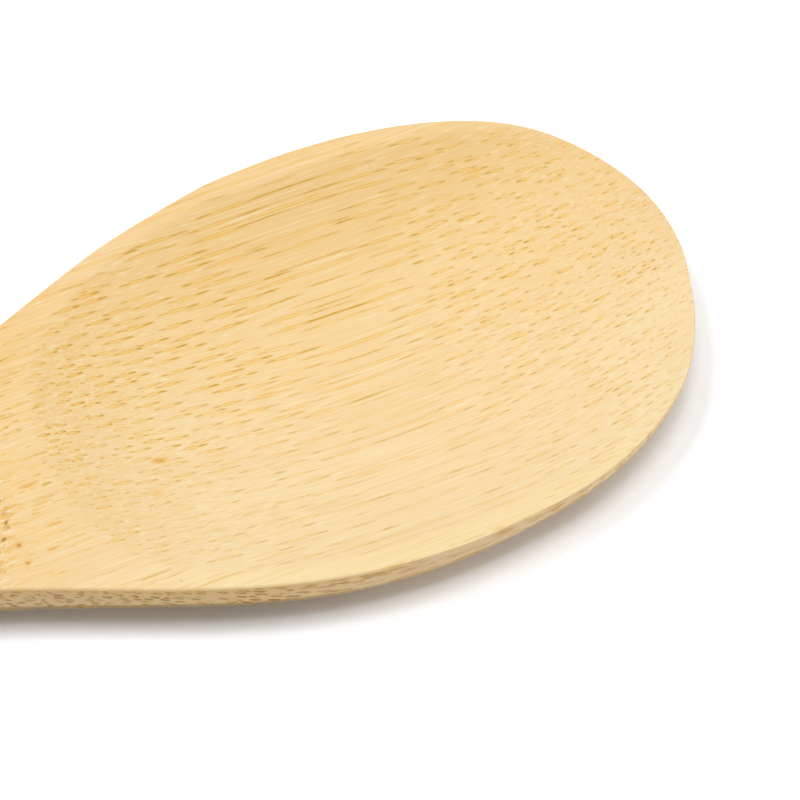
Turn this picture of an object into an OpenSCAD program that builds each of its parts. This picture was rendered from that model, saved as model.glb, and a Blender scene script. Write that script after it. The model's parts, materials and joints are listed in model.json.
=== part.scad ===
// Wooden cooking spoon, carved in one piece from a straight slat of bamboo.
// +X points from the handle to the tip of the bowl, +Z points up out of the bowl.
// The origin lies under the middle of the length, on the surface that the spoon rests on.

/* [Overall] */
// Length from the tip of the bowl to the end of the handle
overall_l = 300; // [250:5:360]

/* [Bowl outline] */
// Widest width of the bowl
bowl_w = 62; // [52:1:74]
// Length from the tip back to the widest place
bowl_front_l = 42; // [34:1:50]
// Length from the widest place back to where the handle begins
neck_l = 82; // [70:1:100]

/* [Dish] */
// Depth of the dish below the rim at its deepest place
dish_depth = 7.8; // [5:0.2:9]
// Thickness of the wood under the deepest place
floor_t = 2.3; // [1.6:0.1:4]
// Width of the flat rim beside the dish
rim_w = 2.7; // [1.5:0.1:5]
// Length from the widest place back to the end of the dish
dish_back_l = 46; // [38:1:54]
// Length by which the curve of the dish runs out beyond the tip
tip_runout = 2; // [0.5:0.5:6]
// Height that the rim gains from the tip to the back of the dish
rim_rise = 1.8; // [0:0.2:4]

/* [Edge] */
// Height of the upright edge along the handle
edge_h_handle = 5.6; // [3.5:0.1:6.5]
// Height of the upright edge beside the dish
edge_h_side = 4.7; // [3.5:0.1:6]
// Height of the upright edge at the tip
edge_h_tip = 1; // [0.8:0.1:3]
// Length from the tip over which the upright edge gains the height that it has beside the dish
edge_gain_l = 60; // [45:1:80]
// Length over which the upright edge gains the rest, about the back end of the dish
edge_join_l = 20; // [10:1:40]
// Radius of the eased corner between the top and the edge
ease_r = 0.6; // [0.3:0.1:1.2]

/* [Handle] */
// Width of the handle where it begins
handle_w_neck = 20; // [16:0.5:26]
// Width of the handle at its far end
handle_w_end = 22; // [18:0.5:28]
// Thickness of the handle
handle_t = 8; // [7:0.5:11]
// Length over which the top comes down from the rim to the handle
taper_l = 62; // [40:1:80]
// Length of the rounded end
end_l = 11; // [8:0.5:14]

/* [Underside] */
// Depth of wood planed off the rounded underside to make its flat strip
planed_depth = 0.5; // [0.2:0.1:1]

/* [Hanging hole] */
// Diameter of the hole
hole_d = 6; // [4:0.5:8]
// Distance from the end of the handle to the middle of the hole
hole_inset = 13; // [11:0.5:20]

/* [Hidden] */

// Places along X
tip_x = overall_l / 2;
end_x = -overall_l / 2;
wide_x = tip_x - bowl_front_l;
handle_x = wide_x - neck_l;
dish_back_x = wide_x - dish_back_l;
taper_x = dish_back_x - taper_l;
round_x = end_x + end_l;
straight_x = min(handle_x, taper_x);

// Half sizes of the dish about the widest place
dish_half_w = bowl_w / 2 - rim_w;
dish_front_l = bowl_front_l + tip_runout;

// Height of the rim at the widest place, and its slope along X
rim_h = floor_t + dish_depth;
rim_slope = rim_rise / (bowl_front_l + dish_back_l);

// Powers of the curves: 2 is an ellipse, more is squarer
bowl_power = 2.2;
dish_power = 2.4;
neck_power = 1.12;

// Steps along the outline, from the tip to the end of the handle
front_steps = 24;
neck_steps = 32;
handle_steps = 5;
end_steps = 10;

// Steps across each section, from the middle of the top to the middle of the underside
dish_steps = 6;
rim_steps = 2;
ease_steps = 3;
belly_steps = 5;

// Places across a section, as shares of the way from the middle line to the outline
middle_share = 0.06;
crease_low_share = 0.3;
crease_high_share = 0.93;

// Extra length of a cut beyond the face that it leaves
overrun = handle_t;

// Goes smoothly from 0 to 1 as t goes from 0 to 1
function smooth(t) = let (u = max(0, min(1, t))) u * u * (3 - 2 * u);

// Half width of the spoon at a place behind the widest one
function handle_half(x) =
    let (t = max(0, min(1, (handle_x - x) / (handle_x - end_x))))
    (handle_w_neck + (handle_w_end - handle_w_neck) * t) / 2;
function back_half(x) =
    let (t = min(1, (wide_x - x) / neck_l))
    let (swell = (1 + cos(180 * pow(t, neck_power))) / 2)
    handle_half(x) + (bowl_w / 2 - handle_half(x)) * swell;

// Outline of the left half, from the tip to the end of the handle
front_points = [
    for (i = [0 : front_steps - 1])
        let (a = 90 * i / front_steps)
        [wide_x + bowl_front_l * pow(cos(a), 2 / bowl_power), bowl_w / 2 * pow(sin(a), 2 / bowl_power)]
];
neck_points = [
    for (i = [0 : neck_steps - 1])
        let (x = wide_x + (straight_x - wide_x) * i / neck_steps)
        [x, back_half(x)]
];
handle_points = [
    for (i = [0 : handle_steps - 1])
        let (x = straight_x + (round_x - straight_x) * i / handle_steps)
        [x, back_half(x)]
];
end_points = [
    for (i = [0 : end_steps])
        let (a = 90 * i / end_steps)
        [round_x - end_l * sin(a), back_half(round_x) * cos(a)]
];
half_outline = concat(front_points, neck_points, handle_points, end_points);
half_count = len(half_outline) - 1;
ring_count = 2 * half_count;
outline = concat(half_outline, [for (i = [half_count - 1 : -1 : 1]) [half_outline[i][0], -half_outline[i][1]]]);

// The middle line runs from the rounded end to the widest place
function foot(p) = [max(round_x, min(wide_x, p[0])), 0];

// Height of the top before the dish is carved, and the depth of the dish
function top_plane(x) =
    let (rim = rim_h + rim_slope * (wide_x - x))
    let (t = smooth((dish_back_x - x) / taper_l))
    rim + (handle_t - rim) * t;
function dish_reach(p) =
    let (along = p[0] > wide_x ? dish_front_l : dish_back_l)
    pow(abs(p[0] - wide_x) / along, dish_power) + pow(abs(p[1]) / dish_half_w, dish_power);
function dish_drop(p) = dish_depth * (1 - pow(min(1, dish_reach(p)), 2 / dish_power));
function top_z(p) = top_plane(p[0]) - dish_drop(p);

// Share of the way from the middle line to the outline at which the dish meets the rim
function crease_share(p) =
    let (along = min(1, (wide_x - p[0]) / dish_back_l))
    let (share = p[0] > wide_x
        ? pow(dish_reach(p), -1 / dish_power)
        : dish_half_w * pow(1 - pow(along, dish_power), 1 / dish_power) / norm(p - foot(p)))
    max(crease_low_share, min(crease_high_share, share));

// Height of the upright edge at a place on the outline
function edge_h(x) =
    let (beside = edge_h_tip + (edge_h_side - edge_h_tip) * smooth((tip_x - x) / edge_gain_l))
    beside + (edge_h_handle - edge_h_side) * smooth((dish_back_x + edge_join_l / 2 - x) / edge_join_l);

// One section, as [share of the way out, height] from the middle of the top, over the edge, to the underside
function section(p) =
    let (reach = norm(p - foot(p)))
    let (crease = crease_share(p))
    let (ease_share = 1 - ease_r / reach)
    let (place = function (share) foot(p) + (p - foot(p)) * share)
    let (low_h = top_z(p) - edge_h(p[0]))
    let (flat_angle = asin(low_h / (low_h + planed_depth)))
    concat(
        [for (i = [0 : dish_steps])
            let (share = middle_share + (crease - middle_share) * i / dish_steps)
            [share, top_z(place(share))]],
        [for (i = [1 : rim_steps])
            let (share = crease + (ease_share - crease) * i / rim_steps)
            [share, top_z(place(share))]],
        [for (i = [1 : ease_steps])
            let (a = 90 * i / ease_steps)
            let (share = 1 - ease_r * (1 - sin(a)) / reach)
            [share, top_z(place(share)) - ease_r * (1 - cos(a))]],
        [[1, low_h]],
        [for (i = [1 : belly_steps - 1])
            let (a = flat_angle * i / belly_steps)
            [cos(a), low_h - (low_h + planed_depth) * sin(a)]],
        [[cos(flat_angle), 0], [middle_share, 0]]
    );

// All sections round the outline, and the points of the body ring by ring
sections = [for (p = outline) section(p)];
section_count = len(sections[0]);
body_points = [
    for (j = [0 : section_count - 1], i = [0 : ring_count - 1])
        let (p = outline[i], f = foot(p), s = sections[i][j])
        [f[0] + (p[0] - f[0]) * s[0], (p[1] - f[1]) * s[0], s[1]]
];

// Two triangles between four corners, and the strip that closes the ring nearest the middle line
function quad(a, b, c, d) = [[a, b, c], [a, c, d]];
side_faces = [
    for (j = [0 : section_count - 2], i = [0 : ring_count - 1])
        let (n = (i + 1) % ring_count, low = j * ring_count, high = (j + 1) * ring_count)
        each quad(low + i, high + i, high + n, low + n)
];
function lid_faces(first) = [
    [first, first + 1, first + ring_count - 1],
    for (i = [1 : half_count - 2])
        each quad(first + i, first + i + 1, first + ring_count - i - 1, first + ring_count - i),
    [first + half_count - 1, first + half_count, first + half_count + 1]
];
function turned(faces) = [for (f = faces) [f[2], f[1], f[0]]];
body_faces = concat(side_faces, lid_faces(0), turned(lid_faces((section_count - 1) * ring_count)));

// Body with the dish carved in its top and the flat strip on its underside
module body() {
    polyhedron(points = body_points, faces = body_faces, convexity = 6);
}

// Round hole through the end of the handle, to hang the spoon by
module hanging_hole() {
    translate([end_x + hole_inset, 0, -overrun])
        cylinder(d = hole_d, h = handle_t + 2 * overrun, $fn = 64);
}

module spoon() {
    color([0.96, 0.85, 0.63])
        difference() {
            body();
            hanging_hole();
        }
}

spoon();
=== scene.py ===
import json
import math

import bpy
import numpy as np
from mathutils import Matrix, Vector


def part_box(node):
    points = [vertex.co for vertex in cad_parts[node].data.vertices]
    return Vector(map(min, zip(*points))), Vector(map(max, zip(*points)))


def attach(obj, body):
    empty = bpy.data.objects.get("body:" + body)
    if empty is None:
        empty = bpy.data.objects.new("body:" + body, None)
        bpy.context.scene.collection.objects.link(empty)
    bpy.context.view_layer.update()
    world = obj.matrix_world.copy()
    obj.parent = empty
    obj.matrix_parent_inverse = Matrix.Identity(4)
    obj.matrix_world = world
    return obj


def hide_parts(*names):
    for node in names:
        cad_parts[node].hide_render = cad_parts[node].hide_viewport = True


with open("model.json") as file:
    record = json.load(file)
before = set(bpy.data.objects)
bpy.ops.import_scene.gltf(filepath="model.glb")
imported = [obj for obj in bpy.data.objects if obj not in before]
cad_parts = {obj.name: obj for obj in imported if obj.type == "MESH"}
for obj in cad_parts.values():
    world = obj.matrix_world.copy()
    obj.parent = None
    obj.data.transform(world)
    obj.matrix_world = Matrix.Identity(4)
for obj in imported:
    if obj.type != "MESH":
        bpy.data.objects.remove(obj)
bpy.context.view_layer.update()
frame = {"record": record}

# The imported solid's own sizes, in millimetres. The tip of the bowl is at its highest x.
MM = 0.001
low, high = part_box("spoon")
tip_x, end_x = high[0] / MM, low[0] / MM
bowl_half_w = (high[1] - low[1]) / 2 / MM
hole = next(m for m in frame["record"]["mounts"] if m["name"] == "hanging_hole")
hole_x = hole["pos_m"][0] / MM
hole_r = hole["dims"]["r_mm"]
handle_t = hole["dims"]["length_mm"]

# Bowl outline
bowl_front_l = 42.0
neck_l = 82.0
handle_half_neck = 10.0
handle_half_end = 11.0
end_l = 11.0
bowl_power = 2.2
neck_power = 1.12

# Dish
dish_depth = 7.8
floor_t = 2.3
rim_w = 2.7
dish_back_l = 46.0
tip_runout = 2.0
rim_rise = 1.8
dish_power = 2.4
crease_softness = 0.03

# Edge, underside and hole
edge_h_handle = 5.6
edge_h_side = 4.7
edge_h_tip = 1.0
edge_gain_l = 60.0
edge_join_l = 20.0
ease_r_bowl = 0.2
ease_r_neck = 0.48
ease_gain_l = 30.0
hole_ease_r = 0.6
taper_l = 62.0
planed_depth = 0.5

# Shallow flats left on the outline by hand shaping, and slight swellings, of less than 0: angle about the
# widest place and spread in degrees, and depth in millimetres, gained over flats_gain_l
flats = (
    (-75, 12, 0.25), (-19, 8, 0.5), (-9.5, 6, 0.48), (23, 10.5, 0.42), (66, 22, 0.3),
    (114, 7, -0.16), (139, 8, -0.18), (158, 10, -0.14),
)
flats_gain_l = 30.0

# Slow waves left in the top by sanding, all of one height: radians per millimetre along x and y, and phase
sanding_waves = ((0.21, 0.13, 1.0), (0.11, -0.27, 2.0), (0.05, 0.41, 0.0))
wave_h = 0.02

# Steps along the outline: round the front of the bowl, along its back and the neck, along the handle, beside
# the hole, on to the rounded end, and round it
front_steps = 96
neck_steps = 150
handle_steps = 56
hole_steps = 12
behind_hole_steps = 4
end_steps = 26

# Rings from the middle of the top over the edge to the middle of the underside. The last but one ring of the
# top lies close to the eased corner, which keeps the corner crisp. The innermost ring leaves a thin slot
# along the middle line, slot_half_w to either side, which has faces of its own.
top_rings = 76
ease_rings = 6
wall_rings = 12
belly_rings = 25
base_rings = 8
last_top_share = 0.995
slot_half_w = 0.45

# Looks that follow the shape: the dish_reach from which the top counts as flat rim, and the width of the
# strip beside the edge in millimetres, each with the stretch over which it fades in
rim_reach, rim_fade = 0.94, 0.08
strip_w, strip_fade = 3.8, 2.6

# Places along x, sizes of the dish, and height and slope of the rim, that follow from these
wide_x = tip_x - bowl_front_l
handle_x = wide_x - neck_l
dish_back_x = wide_x - dish_back_l
taper_x = dish_back_x - taper_l
round_x = end_x + end_l
dish_half_w = bowl_half_w - rim_w
dish_front_l = bowl_front_l + tip_runout
rim_h = floor_t + dish_depth
rim_slope = rim_rise / (bowl_front_l + dish_back_l)

# Grain: its slope against the table, where its fibres arch up under the dish and sag at the culm joint (place
# along x, length and height), and where they start to dive towards the tip, and how steeply
grain_pitch = math.radians(-2.4)
arches = ((107.0, 16.0, 0.93), (54.4, 10.0, -2.0))
dive_x = 118.0
dive_slope = 0.055

# How far apart noise moves the fibres across and through the grain: a little everywhere, and strongly near
# the culm joint, where that grows from none to full between these two distances from it
wander_by = (0.0, 1.6, 1.6)
joint_wave_by = (0.0, 1.8, 4.0)
joint_wave_off = (16.0, 1.0)

# Fibre bundles: the culm's middle line above the spoon, their spacing round the culm and outwards, how
# unevenly they stand, the height below which they crowd together, how fast they do, and how much closer they
# stand on the sides
culm_axis_z = 60.0
bundle_across = 1.7
bundle_through = 1.4
bundle_unevenness = 0.6
crowd_z = 10.0
crowding = 0.12
side_crowding = 1.0

# Parts of a bundle that is cut across: the middle of each, round the culm and outwards, and its half sizes,
# in millimetres. There is a vessel on either side.
inner_cap_spot = ((0.0, -0.27), (0.13, 0.12))
outer_cap_spot = ((0.0, 0.27), (0.14, 0.14))
vessel_spot = ((0.17, 0.0), (0.065, 0.19))
sheath_spot = ((0.0, 0.0), (0.34, 0.46))
tall_spot = ((0.0, 0.0), (0.15, 0.35))

# How strongly the bundles show: on the near side, how much more on the far side and at the tip, and how much
# less on the flat rim, on the far rim and in the strip beside the edge round the tip
near_show = 0.59
far_show = 0.72
tip_show = 0.2
rim_loss = 0.12
far_rim_loss = 0.4
tip_strip_loss = 0.45

# Culm joint that crosses the neck in a shallow chevron: its point, how fast it falls back to the sides, how
# far it wavers, and the spacing of the pits in it
culm_x = 54.4
culm_y = -4.5
culm_slope = 0.4
culm_waver = 4.0
pit_spacing = 1.0526

# Where the looks of the wood change, each from its first place to its second. Across the spoon, by y:
shade_y = (-20.0, 20.0)
far_y = (-10.0, 6.0)
whole_y = (-14.0, 4.0)
near_rim_y = (-18.0, -26.0)
# Along it towards the tip, by x:
far_rim_x = (60.0, 70.0)
tip_show_x = (118.0, 132.0)
# Along it towards the neck, by x:
neck_show_x = (120.0, 80.0)
neck_side_x = (100.0, 82.0)
sanding_x = (95.0, 75.0)
streaky_x = (86.0, 68.0)
ripe_x = (78.0, 56.0)
# The place along x where the dashes are most whole, and how far from it they start and end to be broken up
whole_x = 98.0
broken_off = (18.0, 32.0)

# Sanding lines cross the grain at this angle
sanding_turn = math.radians(-9.0)

# How long the changes of each noise are in millimetres, along, across and through the grain, and endless
# where it doesn't change. Real fibres and sanding lines are finer than these, which are as coarse as they
# need to show.
tone_size = (83.33, 20.0, 20.0)
fibre_size = (28.57, 0.2778, 0.2778)
sanding_size = (4.0, 0.2222, 2.5)
sanded_patch_size = (33.33, 16.67, math.inf)
bundle_fade_size = (11.11, 2.0, 2.0)
bundle_gap_size = (2.5, 0.7143, 0.7143)
wander_size = (50.0, 16.67, 16.67)
joint_wave_size = (7.692, 3.333, 3.333)
joint_waver_size = (10.0, 3.333, 3.333)
joint_patch_size = (2.222, 0.9091, 0.9091)
torn_fibre_size = (3.571, 0.4167, 0.4167)
mark_edge_size = (1.667, 0.6667, math.inf)

# Relief: its height in millimetres, and the shares of it that fibres and caps have
relief_h = 0.05
fibre_relief = 0.6
cap_relief = 0.3

# Marks on the top: x, y, half length, half width, strength and colour
marks = (
    (75.5, -4.0, 1.8, 0.8, 0.5, "#F5C468"),
    (75.5, -4.0, 1.0, 0.45, 0.7, "#E3A440"),
    (73.6, -8.5, 1.0, 0.7, 0.45, "#F2BC5C"),
    (58.7, -3.0, 1.7, 0.3, 0.75, "#EBAC40"),
    (60.4, -5.2, 1.8, 0.7, 0.35, "#EDBB70"),
    (59.5, -6.0, 1.6, 0.3, 0.5, "#ECB040"),
    (60.3, -9.3, 1.3, 0.22, 0.6, "#EAAA38"),
    (58.9, -12.4, 1.3, 0.22, 0.7, "#E6A434"),
    (72.0, -22.4, 0.3, 0.25, 0.35, "#B9A48C"),
    (54.7, -3.2, 0.35, 0.28, 0.8, "#8A5A1C"),
    (55.1, -10.4, 0.8, 0.6, 0.6, "#EFAC40"),
    (55.1, -10.4, 0.32, 0.28, 0.75, "#A8702A"),
    (55.3, -13.1, 0.75, 0.55, 0.6, "#EFAC44"),
    (55.3, -13.1, 0.3, 0.26, 0.7, "#B57C30"),
)
# How far apart noise moves the edge of a mark, in half sizes of the mark
mark_raggedness = 1.6

# Square lamps, their width, distance from a point under the bowl and that point's x in metres, and for each
# its degrees round from +x, degrees above the table, and watts
sky_strength = 0.02
lamp_size = 0.36
lamp_distance = 1.1
lit_x = 0.09
lamps = (
    ("overhead_lamp", 0, 89, 3.8),
    ("behind_lamp", 135, 65, 4.7),
    ("low_behind_lamp", 135, 18, 2.6),
    ("right_lamp", 0, 65, 1.35),
    ("front_lamp", 315, 65, 0.9),
    ("low_front_lamp", 315, 18, 2.85),
)

# Table, in metres: half its width, and the distances from its middle between which it turns plain white
table_half = 4.0
table_white = (0.2, 0.5)

# Camera: degrees above the table, degrees round from the near side, distance in metres, the point that it
# looks at (millimetres back from the tip, and y), and its focal length in pixels of the frame's width
camera_above = 62.73
camera_round = 22.47
camera_distance = 0.3566
looked_at_back = 43.46
looked_at_y = -9.26
focal_px = 2800
frame_px = 800
sensor_mm = 36.0


def smooth(t):
    """Goes from 0 to 1 as t does, level at both ends: 3t squared less 2t cubed."""
    t = np.clip(t, 0.0, 1.0)
    return t * t * (3 - 2 * t)


def back_half(x):
    """Half width behind the widest place: a half cosine from the bowl's width to the handle's slow taper."""
    taper = np.clip((handle_x - x) / (handle_x - end_x), 0, 1)
    handle = handle_half_neck + (handle_half_end - handle_half_neck) * taper
    t = np.clip((wide_x - x) / neck_l, 0, 1)
    return handle + (bowl_half_w - handle) * (1 + np.cos(np.pi * t**neck_power)) / 2


def top_plane(x):
    """Height of the top before carving: a rim that rises slowly to the neck, then eases to the handle."""
    rim = rim_h + rim_slope * (wide_x - x)
    return rim + (handle_t - rim) * smooth((dish_back_x - x) / taper_l)


def dish_reach(x, y):
    """0 at the middle of the dish and 1 on the line where it meets the flat rim, a squared-off oval."""
    along = np.where(x > wide_x, dish_front_l, dish_back_l)
    return (np.abs(x - wide_x) / along) ** dish_power + (np.abs(y) / dish_half_w) ** dish_power


def dish_drop(x, y):
    """Depth of the dish: a squared-off dome upside down, with a softened line where it meets the flat rim."""
    inside = 1 - dish_reach(x, y) ** (2 / dish_power)
    return dish_depth * (inside + np.sqrt(inside**2 + crease_softness**2)) / 2


def waviness(x, y):
    """Slow unevenness left by sanding, 0.12 mm deep at most: crossing sine waves, added up, less their
    number, so that they only take wood away."""
    waves = sum(np.sin(along * x + across * y + phase) for along, across, phase in sanding_waves)
    return wave_h * (waves - len(sanding_waves))


def top_z(x, y):
    """Height of the finished top."""
    return top_plane(x) - dish_drop(x, y) + waviness(x, y)


def edge_h(x):
    """Height of the upright edge: least at the tip, more beside the dish, and most along the handle."""
    beside = edge_h_tip + (edge_h_side - edge_h_tip) * smooth((tip_x - x) / edge_gain_l)
    return beside + (edge_h_handle - edge_h_side) * smooth((dish_back_x + edge_join_l / 2 - x) / edge_join_l)


def ease_r(x):
    """Radius of the eased corner between top and edge: crisp round the bowl, softer along the neck."""
    return ease_r_bowl + (ease_r_neck - ease_r_bowl) * smooth((wide_x - x) / ease_gain_l)


def shaping(x, y):
    """How far the outline is worked in by hand: a few bell curves of the angle about the widest place, added
    up, that end before the handle."""
    angle = np.degrees(np.arctan2(y, x - wide_x))
    worked = sum(depth * np.exp(-(((angle - middle) / spread) ** 2)) for middle, spread, depth in flats)
    return worked * smooth((x - taper_x) / flats_gain_l)


def half_outline():
    """Left half of the outline from the tip to the end, as x, y, the x of the middle line's nearest point,
    and where the innermost ring lies: along a thin slot on the middle line, and then round the flared mouth
    of the hole. The bowl's front is a squared-off quarter ellipse, and the handle's end a plain one."""
    turn = np.linspace(0, np.pi / 2, front_steps, endpoint=False)
    front_x = wide_x + bowl_front_l * np.cos(turn) ** (2 / bowl_power)
    front_y = bowl_half_w * np.sin(turn) ** (2 / bowl_power)
    mouth_r = hole_r + hole_ease_r
    mouth_angle = math.asin(slot_half_w / mouth_r)
    mouth_x = hole_x + mouth_r * math.cos(mouth_angle)
    neck_xs = np.linspace(wide_x, taper_x, neck_steps, endpoint=False)
    handle_xs = np.linspace(taper_x, mouth_x, handle_steps, endpoint=False)
    around = np.linspace(mouth_angle, np.pi / 2, hole_steps)
    mouth_xs = hole_x + mouth_r * np.cos(around)
    straight_x = np.concatenate([neck_xs, handle_xs, mouth_xs])
    behind_hole_x = np.linspace(hole_x, round_x, behind_hole_steps)[1:-1]
    cap = np.linspace(0, np.pi / 2, end_steps)
    cap_x = round_x - end_l * np.sin(cap)
    cap_y = back_half(np.array([round_x])) * np.cos(cap)
    x = np.concatenate([front_x, straight_x, behind_hole_x, cap_x])
    y = np.concatenate([front_y, back_half(straight_x), back_half(behind_hole_x), cap_y])
    foot = np.clip(x, hole_x, wide_x)
    inner = np.full(len(x), slot_half_w)
    first = front_steps + neck_steps + handle_steps
    inner[first:first + hole_steps] = mouth_r * np.sin(around)
    inner[first + hole_steps:] = mouth_r
    return x, y, foot, inner, first


def spoon_sections(x, y, foot, inner):
    """Sections across the spoon, one for each place on the outline, from the middle of the top over the eased
    edge and down the upright edge to the middle of the flat underside. Each is a row of shares of the way out
    and heights: the top follows the dish, the corner is a quarter circle, and the belly is a quarter ellipse
    cut flat at 0."""
    reach = np.hypot(x - foot, y)
    start = inner / reach
    radius = ease_r(x)
    ease = radius / reach

    def place(share):
        return foot + (x - foot) * share, y * share

    rows = []
    for t in np.append(np.linspace(0, last_top_share, top_rings - 1), 1):
        share = start + (1 - ease - start) * t
        rows.append((share, top_z(*place(share))))
    for a in np.linspace(0, np.pi / 2, ease_rings)[1:]:
        share = 1 - ease * (1 - np.sin(a))
        rows.append((share, top_z(*place(share)) - radius * (1 - np.cos(a))))
    rim_z = top_z(x, y)
    low_h = rim_z - edge_h(x)
    for t in np.linspace(0, 1, wall_rings)[1:]:
        rows.append((np.ones_like(x), rim_z - radius + (low_h - rim_z + radius) * t))
    flat = np.arcsin(low_h / (low_h + planed_depth))
    for t in np.linspace(0, 1, belly_rings)[1:]:
        a = flat * t
        rows.append((np.cos(a), np.maximum(low_h - (low_h + planed_depth) * np.sin(a), 0)))
    base = np.cos(flat)
    for t in np.linspace(0, 1, base_rings)[1:]:
        rows.append((base + (start - base) * t, np.zeros_like(x)))
    return rows


def grid_faces(rings, count):
    """Four-cornered faces between neighbouring closed rings of count points each."""
    j, i = np.meshgrid(np.arange(rings - 1), np.arange(count), indexing="ij")
    n = (i + 1) % count
    low_ring, high_ring = j * count, (j + 1) * count
    return np.stack([low_ring + i, high_ring + i, high_ring + n, low_ring + n], -1).reshape(-1, 4)


def slot_faces(first, count, last):
    """Faces across the slot on the middle line, from the bowl's end of it to the mouth of the hole."""
    i = np.arange(1, last)
    quads = np.stack([first + i, first + i + 1, first + count - i - 1, first + count - i], -1)
    return [[first, first + 1, first + count - 1]] + quads.tolist()


def bore_rings(mouth):
    """Points of the bore below its upper mouth: a quarter circle flares the mouth, the wall is straight, and
    the lower mouth is the upper one upside down."""
    lean = mouth[:, :2] - np.array([hole_x, 0.0])
    lean /= np.linalg.norm(lean, axis=1)[:, None]
    turn = np.linspace(0, np.pi / 2, ease_rings)[1:]
    radii = hole_r + hole_ease_r * (1 - np.sin(turn))
    heights = handle_t - hole_ease_r * (1 - np.cos(turn))
    profile = list(zip(radii, heights))
    profile += [(r, handle_t - z) for r, z in reversed(profile)]
    return [np.column_stack([np.array([hole_x, 0.0]) + lean * r, np.full(len(lean), z)]) for r, z in profile]


def spoon_mesh():
    """The whole spoon as one closed surface: sections swept round the outline, with a bored hole in the
    handle, and attributes that tell its material where side, flat rim and the strip beside the edge lie."""
    x, y, foot, inner, first = half_outline()
    rows = spoon_sections(x, y, foot, inner)
    half = len(x) - 1
    count = 2 * half
    mirror = np.concatenate([np.arange(half + 1), np.arange(half - 1, 0, -1)])
    side = np.concatenate([np.ones(half + 1), -np.ones(half - 1)])
    out_x, out_y = (x - foot)[mirror], side * y[mirror]
    reach = np.hypot(out_x, out_y)
    kept = 1 - shaping(x[mirror], out_y) / reach
    points = np.concatenate([
        np.stack([foot[mirror] + out_x * s[mirror] * kept, out_y * s[mirror] * kept, z[mirror]], -1)
        for s, z in rows
    ])
    from_edge = np.concatenate([(1 - s[mirror]) * reach for s, _ in rows])
    underside_first = (len(rows) - 1) * count

    # The two halves of the slot close, and the bore joins the mouth in the top to the one in the underside
    around = np.arange(first, count - first + 1)
    bore = bore_rings(points[around])
    loops = [around] + [len(points) + k * len(around) + np.arange(len(around)) for k in range(len(bore))]
    loops.append(underside_first + around)
    faces = grid_faces(len(rows), count).tolist()
    faces += slot_faces(0, count, first)
    faces += [face[::-1] for face in slot_faces(underside_first, count, first)]
    for upper, lower in zip(loops[:-1], loops[1:]):
        faces += np.stack([np.roll(upper, -1), np.roll(lower, -1), lower, upper], -1).tolist()
    points = np.concatenate([points] + bore)

    mesh = bpy.data.meshes.new("spoon_surface")
    mesh.from_pydata((points * MM).tolist(), [], faces)
    mesh.validate()
    mesh.polygons.foreach_set("use_smooth", np.ones(len(mesh.polygons), dtype=bool))
    ring = np.arange(len(points)) // count
    in_bore = ring >= len(rows)
    from_edge = np.append(from_edge, np.zeros(np.count_nonzero(in_bore)))
    wall_top = top_rings + ease_rings - 2
    looks = {
        "side_face": np.where(in_bore, 0.0, smooth((ring - top_rings) / ease_rings)),
        "low_side": np.where(in_bore, 0.0, np.clip((ring - wall_top) / (wall_rings - 1), 0, 1)),
        "flat_top": smooth((dish_reach(points[:, 0], points[:, 1]) - rim_reach) / rim_fade),
        "near_edge": smooth((strip_w - from_edge) / strip_fade),
    }
    for name, values in looks.items():
        mesh.attributes.new(name, "FLOAT", "POINT").data.foreach_set("value", values.astype(np.float32))
    mesh.update()
    return mesh


def linear(code):
    """A #rrggbb colour of the screen as linear red, green, blue and alpha."""
    values = [int(code[i:i + 2], 16) / 255 for i in (1, 3, 5)]
    return tuple(v / 12.92 if v <= 0.04045 else ((v + 0.055) / 1.055) ** 2.4 for v in values) + (1.0,)


def add(tree, kind, inputs=(), output=0, **settings):
    """Adds a node with its settings, and fills its inputs, given in order or by name, with values or links.
    Gives one of its outputs, or all."""
    node = tree.nodes.new("ShaderNode" + kind)
    for name, value in settings.items():
        setattr(node, name, value)
    for key, value in inputs.items() if isinstance(inputs, dict) else enumerate(inputs):
        if isinstance(value, bpy.types.NodeSocket):
            tree.links.new(value, node.inputs[key])
        else:
            node.inputs[key].default_value = value
    if output == "all":
        return node.outputs
    return node.outputs[output] if node.outputs else None


def new_material(name):
    """An empty material and its tree of nodes."""
    material = bpy.data.materials.new(name)
    material.use_nodes = True
    material.node_tree.nodes.clear()
    return material, material.node_tree


def grain_noise(tree, place, size, detail=2.0, roughness=0.5, output="Fac"):
    """Noise drawn out along the grain: size is how long its changes are in millimetres along, across and
    through, and math.inf where it doesn't change."""
    at = add(tree, "Mapping", {"Vector": place, "Scale": tuple(1 / length for length in size)})
    inputs = {"Vector": at, "Scale": 1.0, "Detail": detail, "Roughness": roughness}
    return add(tree, "TexNoise", inputs, output=output)


def centred(tree, noise, by):
    """Noise colours as shifts to either side: by is how far apart the furthest two are along each axis."""
    noise = add(tree, "VectorMath", (noise, (0.5, 0.5, 0.5)), operation="SUBTRACT")
    return add(tree, "VectorMath", (noise, by), operation="MULTIPLY")


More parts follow.
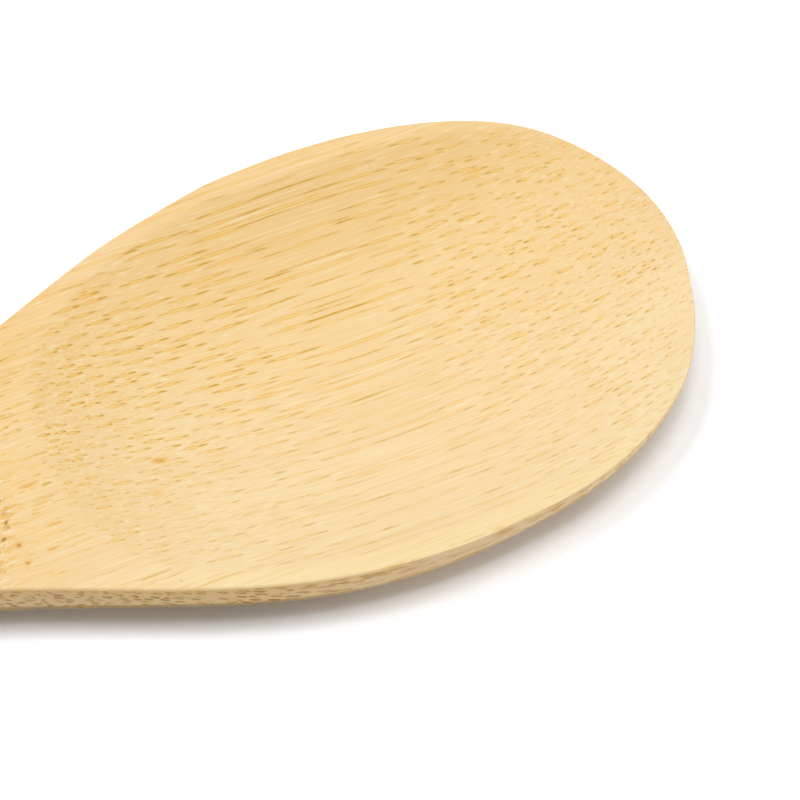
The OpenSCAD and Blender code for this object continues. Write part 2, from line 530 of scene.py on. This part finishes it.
def bent_grain(tree, grain):
    """Where a point lies among the fibres, once they are laid straight. They arch up under the dish, each
    arch a bell curve of x, wander a little everywhere, wave strongly near the culm joint, and dive towards
    the tip."""
    x = add(tree, "SeparateXYZ", (grain,))
    from_joint = add(tree, "Math", (x, culm_x), operation="SUBTRACT")
    from_joint = add(tree, "Math", (from_joint,), operation="ABSOLUTE")
    inputs = (from_joint, *joint_wave_off, 0.0, 1.0)
    near_joint = add(tree, "MapRange", inputs, interpolation_type="SMOOTHSTEP")
    wander = grain_noise(tree, grain, wander_size, 3.5, output="Color")
    wander = centred(tree, wander, wander_by)
    wave = grain_noise(tree, grain, joint_wave_size, 3.0, 0.6, output="Color")
    wave = centred(tree, wave, joint_wave_by)
    wave = add(tree, "VectorMath", {0: wave, "Scale": near_joint}, operation="SCALE")
    bent = add(tree, "VectorMath", (grain, wander), operation="ADD")
    bent = add(tree, "VectorMath", (bent, wave), operation="ADD")
    for middle, length, height in arches:
        off = add(tree, "MapRange", (x, middle, middle + length), clamp=False)
        off = add(tree, "Math", (off, off), operation="MULTIPLY")
        off = add(tree, "Math", (off, -1.0), operation="MULTIPLY")
        bell = add(tree, "Math", (off,), operation="EXPONENT")
        bell = add(tree, "Math", (bell, -height), operation="MULTIPLY")
        bent = add(tree, "VectorMath", (bent, add(tree, "CombineXYZ", {2: bell})), operation="ADD")
    dive = add(tree, "MapRange", (x, dive_x, tip_x, 0.0, dive_slope * (tip_x - dive_x)))
    return add(tree, "VectorMath", (bent, add(tree, "CombineXYZ", {2: dive})), operation="ADD")


def bundle_lattice(tree, bent, on_side):
    """Fibre bundles stand in a staggered, uneven lattice across the grain, closer together on the sides and
    most of all low on them. Gives a point's distance from the middle of its bundle, round the culm and
    outwards, in millimetres, and three random numbers of that bundle."""
    _, y, z = add(tree, "SeparateXYZ", (bent,), output="all")
    up = add(tree, "Math", (culm_axis_z, z), operation="SUBTRACT")
    angle = add(tree, "Math", (y, up), operation="ARCTAN2")
    depth = add(tree, "VectorMath", (add(tree, "CombineXYZ", (y, up)),), output="Value", operation="LENGTH")
    low_by = add(tree, "Math", (crowd_z, z), operation="SUBTRACT")
    low_by = add(tree, "Math", (low_by, 0.0), operation="MAXIMUM")
    crowd = add(tree, "Math", (low_by, low_by), operation="MULTIPLY")
    crowd = add(tree, "Math", (crowd, crowding), operation="MULTIPLY")
    depth = add(tree, "Math", (crowd, on_side, depth), operation="MULTIPLY_ADD")
    closer = add(tree, "Math", (on_side, side_crowding, 1.0), operation="MULTIPLY_ADD")
    across = add(tree, "Math", (angle, (culm_axis_z - rim_h) / bundle_across), operation="MULTIPLY")
    across = add(tree, "Math", (across, closer), operation="MULTIPLY")
    through = add(tree, "Math", (depth, bundle_through), operation="DIVIDE")
    place = add(tree, "CombineXYZ", (
        add(tree, "Math", (through, across), operation="ADD"),
        add(tree, "Math", (through, across), operation="SUBTRACT"),
    ))
    inputs = {"Vector": place, "Scale": 1.0, "Randomness": bundle_unevenness}
    cell = add(tree, "TexVoronoi", inputs, output="all", voronoi_dimensions="2D")
    from_middle = add(tree, "VectorMath", (place, cell["Position"]), operation="SUBTRACT")
    u, v, _ = add(tree, "SeparateXYZ", (from_middle,), output="all")
    side = add(tree, "Math", (u, v), operation="SUBTRACT")
    side = add(tree, "Math", (side, bundle_across / 2), operation="MULTIPLY")
    side = add(tree, "Math", (side, closer), operation="DIVIDE")
    out = add(tree, "Math", (u, v), operation="ADD")
    out = add(tree, "Math", (out, bundle_through / 2), operation="MULTIPLY")
    return side, out, add(tree, "SeparateColor", (cell["Color"],), output="all")


def blot(tree, along, across, middle, half, inner=0.5, outer=1.3):
    """An ellipse of those half sizes about a middle point: 1 up to the inner share of them and 0 from the
    outer share on."""
    place = add(tree, "CombineXYZ", (along, across))
    offset = add(tree, "VectorMath", (place, (middle[0], middle[1], 0)), operation="SUBTRACT")
    offset = add(tree, "VectorMath", (offset, (1 / half[0], 1 / half[1], 1)), operation="MULTIPLY")
    far = add(tree, "VectorMath", (offset,), output="Value", operation="LENGTH")
    return add(tree, "MapRange", (far, outer, inner, 0.0, 1.0), interpolation_type="SMOOTHSTEP")


def bundle_parts(tree, grain, on_side, strong, brittle):
    """How strongly each part of a fibre bundle shows: the two hard caps, the vessels between, the sheath, and
    on the sides the whole bundle, cut across as one tall dark spot. Brittle is how deep their gaps are."""
    side, out, lots = bundle_lattice(tree, bent_grain(tree, grain), on_side)
    inner_cap = blot(tree, side, out, *inner_cap_spot)
    outer_cap = blot(tree, side, out, *outer_cap_spot)
    off_middle = add(tree, "Math", (side,), operation="ABSOLUTE")
    vessels = blot(tree, off_middle, out, *vessel_spot)
    sheath = blot(tree, side, out, *sheath_spot, 0.3)
    tall = blot(tree, side, out, *tall_spot, 0.8)
    tall = add(tree, "Math", (tall, on_side), operation="MULTIPLY")
    inner_share = add(tree, "Math", (lots[1], 0.5, 0.5), operation="MULTIPLY_ADD")
    inner_cap = add(tree, "Math", (inner_cap, inner_share), operation="MULTIPLY")
    caps = add(tree, "Math", (inner_cap, outer_cap), operation="MAXIMUM")
    fade = add(tree, "MapRange", (grain_noise(tree, grain, bundle_fade_size), 0.35, 0.6, 0.6, 1.0))
    broken = add(tree, "MapRange", (grain_noise(tree, grain, bundle_gap_size), 0.36, 0.55, -1.0, 0.0))
    broken = add(tree, "Math", (broken, brittle, 1.0), operation="MULTIPLY_ADD")
    lot = add(tree, "Math", (lots[0], 0.35, 0.65), operation="MULTIPLY_ADD")
    strength = add(tree, "Math", (fade, lot), operation="MULTIPLY")
    strength = add(tree, "Math", (strength, broken), operation="MULTIPLY")
    strength = add(tree, "Math", (strength, strong), operation="MULTIPLY")
    parts = (caps, vessels, sheath, tall)
    return [add(tree, "Math", (part, strength), operation="MULTIPLY") for part in parts]


def joint_parts(tree, grain):
    """The culm joint on the neck: patches of darker wood, a wavering row of pits, and pale torn fibres."""
    waver = grain_noise(tree, grain, joint_waver_size)
    x, y, z = add(tree, "SeparateXYZ", (grain,), output="all")
    aside = add(tree, "Math", (add(tree, "Math", (y, culm_y), operation="SUBTRACT"),), operation="ABSOLUTE")
    along = add(tree, "Math", (aside, culm_slope, x), operation="MULTIPLY_ADD")
    along = add(tree, "Math", (waver, -culm_waver, along), operation="MULTIPLY_ADD")
    along = add(tree, "Math", (along, culm_waver / 2 - culm_x), operation="ADD")
    off = add(tree, "Math", (along,), operation="ABSOLUTE")
    near = add(tree, "MapRange", (off, 3.2, 0.4, 0.0, 1.0), interpolation_type="SMOOTHSTEP")
    patch = grain_noise(tree, grain, joint_patch_size, 3.0, 0.6)
    patch = add(tree, "MapRange", (patch, 0.46, 0.62, 0.0, 1.0))
    band = add(tree, "Math", (near, patch), operation="MULTIPLY")
    torn = add(tree, "MapRange", (grain_noise(tree, grain, torn_fibre_size), 0.56, 0.66, 0.0, 1.0))
    torn = add(tree, "Math", (near, torn), operation="MULTIPLY")
    place = add(tree, "CombineXYZ", (along, y, z))
    cell = add(tree, "TexVoronoi", {"Vector": place, "Scale": 1 / pit_spacing, "Randomness": 0.9})
    pits = add(tree, "MapRange", (cell, 0.36, 0.1, 0.0, 1.0), interpolation_type="SMOOTHSTEP")
    row = add(tree, "MapRange", (off, 1.1, 0.6, 0.0, 1.0), interpolation_type="SMOOTHSTEP")
    pits = add(tree, "Math", (pits, row), operation="MULTIPLY")
    return band, torn, pits


def wood_places(tree, flat):
    """Where a point lies on the spoon: its x and y in millimetres, and how far, from 0 to 1, it is on the
    side, low on it, on the top, on the flat rim, beside the edge, on the far side, on the far rim, and
    towards neck or tip."""
    x, y, _ = add(tree, "SeparateXYZ", (flat,), output="all")
    at = {"x": x, "y": y}
    for name in ("side_face", "low_side", "flat_top", "near_edge"):
        at[name] = add(tree, "Attribute", output="Fac", attribute_name=name)
    at["top_face"] = add(tree, "Math", (1.0, at["side_face"]), operation="SUBTRACT")
    at["far"] = add(tree, "MapRange", (y, *far_y, 0.0, 1.0))
    at["neckwards"] = add(tree, "MapRange", (x, *neck_side_x, 0.0, 1.0))
    at["tipwards"] = add(tree, "MapRange", (x, *tip_show_x, 0.0, 1.0))
    far_rim = add(tree, "MapRange", (x, *far_rim_x, 0.0, 1.0))
    far_rim = add(tree, "Math", (at["far"], far_rim), operation="MULTIPLY")
    at["far_rim"] = add(tree, "Math", (far_rim, at["flat_top"]), operation="MULTIPLY")
    return at


def bundle_strength(tree, at):
    """How strongly the bundles show: most on the far side towards the neck and on the sides, and less on the
    near side, on the flat rim and beside the edge round the tip. And how brittle they are: more on the near
    side, and away from the middle of the dish."""
    neck_show = add(tree, "MapRange", (at["x"], *neck_show_x, 0.5, 1.0))
    strong = add(tree, "Math", (at["far"], neck_show), operation="MULTIPLY")
    strong = add(tree, "Math", (strong, far_show, near_show), operation="MULTIPLY_ADD")
    strong = add(tree, "Math", (at["tipwards"], tip_show, strong), operation="MULTIPLY_ADD")
    tip_strip = add(tree, "Math", (at["tipwards"], at["near_edge"]), operation="MULTIPLY")
    plain = add(tree, "Math", (at["flat_top"], -rim_loss, 1.0), operation="MULTIPLY_ADD")
    plain = add(tree, "Math", (at["far_rim"], -far_rim_loss, plain), operation="MULTIPLY_ADD")
    plain = add(tree, "Math", (tip_strip, -tip_strip_loss, plain), operation="MULTIPLY_ADD")
    strong = add(tree, "Math", (strong, plain), operation="MULTIPLY")
    strong = add(tree, "Math", (strong, at["side_face"]), operation="MAXIMUM")
    brittle = add(tree, "MapRange", (at["y"], *whole_y, 0.95, 0.5))
    off_middle = add(tree, "Math", (at["x"], whole_x), operation="SUBTRACT")
    off_middle = add(tree, "Math", (off_middle,), operation="ABSOLUTE")
    at_ends = add(tree, "MapRange", (off_middle, *broken_off, 0.0, 0.95))
    return strong, add(tree, "Math", (brittle, at_ends), operation="MAXIMUM")


def ground_layers(tree, at, grain, flat, fibre):
    """Ground wood between the bundles: slow changes of tone, a riper colour on the neck, warmer and paler
    rims, fine fibres, more of them on the far side of the neck, and faint, patchy sanding lines across them.
    Each layer is where it lies, how much of it shows there, and its colour."""
    tone = add(tree, "MapRange", (grain_noise(tree, grain, tone_size), 0.35, 0.65, 0.0, 1.0))
    ripe = add(tree, "MapRange", (at["x"], *ripe_x, 0.0, 1.0))
    ripe = add(tree, "Math", (ripe, at["top_face"]), operation="MULTIPLY")
    near_rim = add(tree, "MapRange", (at["y"], *near_rim_y, 0.0, 1.0))
    near_rim = add(tree, "Math", (near_rim, at["flat_top"]), operation="MULTIPLY")
    streaky = add(tree, "MapRange", (at["x"], *streaky_x, 1.0, 2.0))
    streaky = add(tree, "Math", (at["far"], streaky), operation="MULTIPLY")
    streaky = add(tree, "Math", (streaky, 1.0), operation="MAXIMUM")
    dark_fibre = add(tree, "MapRange", (fibre, 0.5, 0.75, 0.0, 1.0))
    dark_fibre = add(tree, "Math", (dark_fibre, streaky), operation="MULTIPLY")
    pale_fibre = add(tree, "MapRange", (fibre, 0.45, 0.28, 0.0, 1.0))
    # Real sanding lines are 0.1 mm apart or less, so these are twice as coarse
    sanded = add(tree, "Mapping", {"Vector": flat, "Rotation": (0, 0, sanding_turn)})
    lines = add(tree, "MapRange", (grain_noise(tree, sanded, sanding_size), 0.55, 0.7, 0.0, 1.0))
    patchy = add(tree, "MapRange", (grain_noise(tree, flat, sanded_patch_size), 0.45, 0.6, 0.1, 0.45))
    neck_lines = add(tree, "MapRange", (at["x"], *sanding_x, 0.5, 1.2))
    for share in (patchy, neck_lines, at["far"]):
        lines = add(tree, "Math", (lines, share), operation="MULTIPLY")
    return [
        (tone, 0.5, "#F4CF93"),
        (ripe, 0.55, "#F3C984"),
        (near_rim, 0.2, "#FFE28E"),
        (at["far_rim"], 0.3, "#FCDCA8"),
        (dark_fibre, 0.42, "#EBC07E"),
        (pale_fibre, 0.55, "#FFF0CE"),
        (lines, 1.0, "#FFEDCB"),
    ]


def side_layers(tree, at):
    """The upright sides: warmer wood, paler towards the tip, a yellower band under the top corner of the
    neck, and painted shade low down, where the side turns under towards the table. Also gives how much the
    tall spots show: less in that band and towards the tip."""
    pale_side = add(tree, "Math", (1.0, at["neckwards"]), operation="SUBTRACT")
    pale_side = add(tree, "Math", (pale_side, at["side_face"]), operation="MULTIPLY")
    corner = add(tree, "MapRange", (at["low_side"], 0.0, 0.3, 1.0, 0.0))
    corner = add(tree, "Math", (corner, at["side_face"]), operation="MULTIPLY")
    corner = add(tree, "Math", (corner, at["neckwards"]), operation="MULTIPLY")
    # Painted shade: the side is darkened where it turns under towards the table, and more so at the neck
    painted_low_shade = add(tree, "MapRange", (at["low_side"], 0.84, 1.0, 0.0, 1.0))
    more_at_neck = add(tree, "Math", (at["neckwards"], 0.5, 0.5), operation="MULTIPLY_ADD")
    painted_low_shade = add(tree, "Math", (painted_low_shade, more_at_neck), operation="MULTIPLY")
    spotted = add(tree, "Math", (at["neckwards"], 0.68, 0.3), operation="MULTIPLY_ADD")
    under_corner = add(tree, "Math", (corner, -0.45, 1.0), operation="MULTIPLY_ADD")
    spotted = add(tree, "Math", (under_corner, spotted), operation="MULTIPLY")
    layers = [
        (at["side_face"], 0.5, "#FFD08C"),
        (pale_side, 0.5, "#FFE0BA"),
        (corner, 0.75, "#FFC97A"),
        # Painted shade low on the side
        (painted_low_shade, 0.85, "#98805A"),
    ]
    return layers, spotted


def mark_layers(tree, at, flat):
    """The single marks on the top: resin spots, dark pits and stains, each a ragged ellipse."""
    noise = grain_noise(tree, flat, mark_edge_size, output="Color")
    layers = []
    for x, y, half_l, half_w, share, code in marks:
        ragged = centred(tree, noise, (mark_raggedness * half_l, mark_raggedness * half_w, 0.0))
        place = add(tree, "VectorMath", (flat, ragged), operation="ADD")
        along, across, _ = add(tree, "SeparateXYZ", (place,), output="all")
        spot = blot(tree, along, across, (x, y), (half_l, half_w), 0.2)
        layers.append((add(tree, "Math", (spot, at["top_face"]), operation="MULTIPLY"), share, code))
    return layers


def bamboo_material():
    """Bamboo, cut from the culm's wall, sanded and left bare: to the eye it is matt and pale gold. Its fibre
    bundles run along the spoon through the whole solid, so they show as long lines where the surface lies
    along them, as short dashes where the dish cuts across them, and as spots on the sides. Bundles are about
    half a millimetre wide and stand 1.1 to 1.7 mm apart, as in a real culm's wall. The fibres between them
    are drawn 0.3 mm apart, far coarser than real ones, so that they show."""
    material, tree = new_material("sanded_bamboo")
    # Object coordinates in millimetres, and the same turned so that the grain falls a little towards the tip
    coords = add(tree, "TexCoord", output="Object")
    flat = add(tree, "Mapping", {"Vector": coords, "Scale": (1 / MM, 1 / MM, 1 / MM)})
    grain = add(tree, "Mapping", {"Vector": flat, "Rotation": (0, grain_pitch, 0)})
    at = wood_places(tree, flat)
    on_side = add(tree, "Math", (at["side_face"], 0.5), operation="GREATER_THAN")
    strong, brittle = bundle_strength(tree, at)
    caps, vessels, sheath, tall = bundle_parts(tree, grain, on_side, strong, brittle)
    band, torn, pits = joint_parts(tree, grain)
    fibre = grain_noise(tree, grain, fibre_size, 3.0, 0.6)
    on_sides, spotted = side_layers(tree, at)
    spots = add(tree, "Math", (tall, spotted), operation="MULTIPLY")

    # Each layer, from the ground up: where it lies, how much of it shows there, and its colour
    layers = ground_layers(tree, at, grain, flat, fibre) + [(band, 0.85, "#E7B056")] + on_sides + [
        (sheath, 0.45, "#F8C862"),
        (vessels, 1.0, "#EAB63C"),
        (caps, 1.0, "#D3A12D"),
        (spots, 1.0, "#A87C3C"),
        (torn, 0.8, "#FFF1D2"),
        (pits, 0.85, "#A06C2A"),
    ] + mark_layers(tree, at, flat)
    across = add(tree, "MapRange", (at["y"], *shade_y, 0.0, 1.0))
    inputs = {0: across, 6: linear("#FEEDC3"), 7: linear("#F5CF8E")}
    colour = add(tree, "Mix", inputs, output=2, data_type="RGBA")
    for where, share, code in layers:
        shown = add(tree, "Math", (where, share), operation="MULTIPLY")
        inputs = {0: shown, 6: colour, 7: linear(code)}
        colour = add(tree, "Mix", inputs, output=2, data_type="RGBA")

    # Caps are harder and shinier than the ground wood and stand a little proud
    rough = add(tree, "MapRange", (caps, 0.0, 1.0, 0.6, 0.5))
    height = add(tree, "Math", (caps, cap_relief), operation="MULTIPLY")
    height = add(tree, "Math", (fibre, fibre_relief, height), operation="MULTIPLY_ADD")
    bump = add(tree, "Bump", {"Height": height, "Strength": 0.5, "Distance": relief_h * MM})
    inputs = {"Base Color": colour, "Roughness": rough, "Normal": bump, "IOR": 1.5, "Specular IOR Level": 0.3}
    shader = add(tree, "BsdfPrincipled", inputs)
    add(tree, "OutputMaterial", {"Surface": shader})
    return material


def seen_directly(tree):
    """1 for what the camera sees, straight or in mirror or glass, and 0 for light on its way to the spoon."""
    rays = add(tree, "LightPath", output="all")
    seen = add(tree, "Math", (rays["Is Camera Ray"], rays["Is Glossy Ray"]), operation="MAXIMUM")
    return add(tree, "Math", (seen, rays["Is Transmission Ray"]), operation="MAXIMUM")


def table_material():
    """Matt white paint. The camera sees it as plain white, darkened only by the spoon's shadow, and well away
    from the spoon, where the lamps give out, it sees the same white as that of the surroundings."""
    material, tree = new_material("matt_white_paint")
    seen = seen_directly(tree)
    matt = add(tree, "BsdfDiffuse", {"Color": linear("#F2F3F5")})
    more = add(tree, "BsdfDiffuse", {"Color": linear("#ABAFB4")})
    bright = add(tree, "AddShader", (matt, more))
    coords = add(tree, "TexCoord", output="Object")
    out = add(tree, "VectorMath", (coords,), output="Value", operation="LENGTH")
    away = add(tree, "MapRange", (out, *table_white, 0.0, 1.0), interpolation_type="SMOOTHSTEP")
    white = add(tree, "Emission", {"Color": (1, 1, 1, 1), "Strength": 1.0})
    bright = add(tree, "MixShader", (away, bright, white))
    both = add(tree, "MixShader", (seen, matt, bright))
    add(tree, "OutputMaterial", {"Surface": both})
    return material


def make_table():
    """A wide level square under the spoon."""
    half = table_half
    mesh = bpy.data.meshes.new("table_top")
    corners = [(-half, -half, 0), (half, -half, 0), (half, half, 0), (-half, half, 0)]
    mesh.from_pydata(corners, [], [(0, 1, 2, 3)])
    table = bpy.data.objects.new("table_top", mesh)
    bpy.context.scene.collection.objects.link(table)
    mesh.materials.append(table_material())


def make_light():
    """White surroundings, four lamps above the spoon and round it, and two low ones behind and before it."""
    scene = bpy.context.scene
    world = bpy.data.worlds.new("studio")
    scene.world = world
    world.use_nodes = True
    tree = world.node_tree
    tree.nodes.clear()
    seen = seen_directly(tree)
    sky = add(tree, "Background", {"Color": (1, 1, 1, 1), "Strength": sky_strength})
    white = add(tree, "Background", {"Color": (1, 1, 1, 1), "Strength": 1.0})
    both = add(tree, "MixShader", (seen, sky, white))
    add(tree, "OutputWorld", {"Surface": both})
    for name, around, above, watts in lamps:
        lamp = bpy.data.lights.new(name, "AREA")
        lamp.size = lamp_size
        lamp.energy = watts
        holder = bpy.data.objects.new(name, lamp)
        scene.collection.objects.link(holder)
        a, e = math.radians(around), math.radians(above)
        away = Vector((math.cos(a) * math.cos(e), math.sin(a) * math.cos(e), math.sin(e)))
        holder.location = Vector((lit_x, 0, 0)) + away * lamp_distance
        holder.rotation_mode = "QUATERNION"
        holder.rotation_quaternion = away.to_track_quat("Z", "Y")
        holder.visible_camera = False


def make_camera():
    """The photograph's viewpoint: a long lens above the bowl's near side, the handle running off left."""
    e, a = math.radians(camera_above), math.radians(camera_round)
    looked_at = Vector((tip_x - looked_at_back, looked_at_y, rim_h)) * MM
    back = Vector((-math.sin(a) * math.cos(e), -math.cos(a) * math.cos(e), math.sin(e)))
    data = bpy.data.cameras.new("camera")
    data.sensor_width = sensor_mm
    data.lens = focal_px / frame_px * data.sensor_width
    data.clip_start = 0.01
    camera = bpy.data.objects.new("camera", data)
    bpy.context.scene.collection.objects.link(camera)
    camera.location = looked_at + back * camera_distance
    camera.rotation_mode = "QUATERNION"
    camera.rotation_quaternion = back.to_track_quat("Z", "Y")
    bpy.context.scene.camera = camera


def make_spoon():
    """The finished spoon in place of the plain solid."""
    spoon = bpy.data.objects.new("bamboo_spoon", spoon_mesh())
    bpy.context.scene.collection.objects.link(spoon)
    spoon.data.materials.append(bamboo_material())
    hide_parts("spoon")
    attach(spoon, "root")


bpy.context.scene.view_settings.view_transform = "Standard"
make_camera()
make_table()
make_light()
make_spoon()
